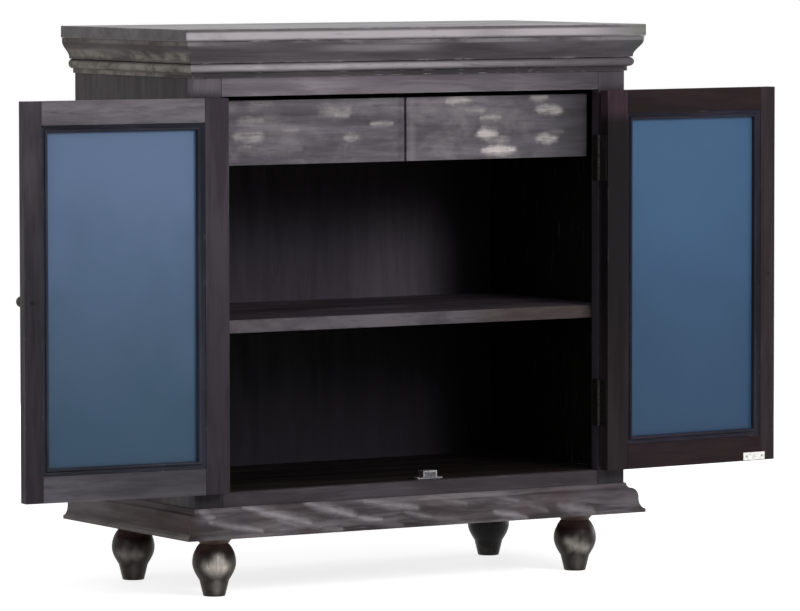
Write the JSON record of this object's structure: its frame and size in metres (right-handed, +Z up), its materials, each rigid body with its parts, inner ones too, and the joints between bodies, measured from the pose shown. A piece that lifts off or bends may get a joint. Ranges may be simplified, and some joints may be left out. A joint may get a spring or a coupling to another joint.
{
  "type": "two-door cabinet",
  "caption": "Low free-standing cabinet with panelled doors over inner drawers and a shelf, under a moulded cornice, on turned feet.",
  "frame": {"origin": "on the floor, midway between the doors' free edges and midway from front to back, under the middle of the top board", "axes": "+X to the right of someone who faces the cabinet, +Y to its back, +Z up"},
  "size_m": [1.4318, 0.4254, 0.914],
  "materials": {
    "worn_wood": "dark stain, rubbed through to grey on edges and in patches, satin",
    "inner_wood": "dark brown stain, matt",
    "door_wood": "dark reddish brown stain, satin",
    "blue_paint": "smooth satin blue paint",
    "hinge_steel": "plain, a little dull",
    "knob_iron": "dark, satin",
    "magnet_grey": "grey, matt"
  },
  "bodies": {
    "cabinet": {"top_board": "worn_wood", "cornice_front": "worn_wood", "cornice_left": "worn_wood", "cornice_right": "worn_wood", "plinth_front": "worn_wood", "plinth_left": "worn_wood", "plinth_right": "worn_wood", "side_panel_left": "worn_wood", "side_panel_right": "worn_wood", "frame_stile_left": "worn_wood", "frame_stile_right": "worn_wood", "frame_top_rail": "worn_wood", "frame_bottom_rail": "worn_wood", "bottom_board": "inner_wood", "shelf": "inner_wood", "back_panel": "inner_wood", "foot_front_left": "worn_wood", "foot_front_right": "worn_wood", "foot_back_left": "worn_wood", "foot_back_right": "worn_wood", "drawer_runner_left": "inner_wood", "drawer_runner_centre": "inner_wood", "drawer_runner_right": "inner_wood", "hinge_left_lower_frame_leaf": "hinge_steel", "hinge_left_upper_frame_leaf": "hinge_steel", "hinge_right_lower_frame_leaf": "hinge_steel", "hinge_right_upper_frame_leaf": "hinge_steel", "catch_case": "hinge_steel"},
    "door_left": {"door_left_hinge_stile": "door_wood", "door_left_meeting_stile": "door_wood", "door_left_top_rail": "door_wood", "door_left_bottom_rail": "door_wood", "door_left_panel": "blue_paint", "door_left_panel_moulding": "door_wood", "door_left_knob": "knob_iron", "hinge_left_lower_door_leaf": "hinge_steel", "hinge_left_upper_door_leaf": "hinge_steel"},
    "door_right": {"door_right_hinge_stile": "door_wood", "door_right_meeting_stile": "door_wood", "door_right_top_rail": "door_wood", "door_right_bottom_rail": "door_wood", "door_right_panel": "blue_paint", "door_right_panel_moulding": "door_wood", "door_right_knob": "knob_iron", "hinge_right_lower_door_leaf": "hinge_steel", "hinge_right_upper_door_leaf": "hinge_steel", "strike_plate": "hinge_steel"},
    "drawer_left": {"drawer_left_front": "worn_wood", "drawer_left_inner_side": "inner_wood", "drawer_left_outer_side": "inner_wood", "drawer_left_back": "inner_wood", "drawer_left_bottom": "inner_wood"},
    "drawer_right": {"drawer_right_front": "worn_wood", "drawer_right_inner_side": "inner_wood", "drawer_right_outer_side": "inner_wood", "drawer_right_back": "inner_wood", "drawer_right_bottom": "inner_wood"},
    "catch_magnet": {"catch_magnet": "magnet_grey"}
  },
  "joints": [
    {"name": "door_left_hinge", "type": "hinge", "parent": "cabinet", "child": "door_left", "pos_m": [-0.3583, -0.1895, 0.48825], "axis": [0, 0, -1], "range_deg": [-184, 3]},
    {"name": "door_right_hinge", "type": "hinge", "parent": "cabinet", "child": "door_right", "pos_m": [0.3583, -0.1895, 0.48825], "axis": [0, 0, 1], "range_deg": [-184, 3]},
    {"name": "drawer_left_slide", "type": "slide", "parent": "cabinet", "child": "drawer_left", "axis": [0, -1, 0], "range_m": [0, 0.22]},
    {"name": "drawer_right_slide", "type": "slide", "parent": "cabinet", "child": "drawer_right", "axis": [0, -1, 0], "range_m": [0, 0.22]},
    {"name": "catch_magnet_float", "type": "slide", "parent": "cabinet", "child": "catch_magnet", "axis": [0, -1, 0], "range_m": [0, 0.0012]}
  ]
}
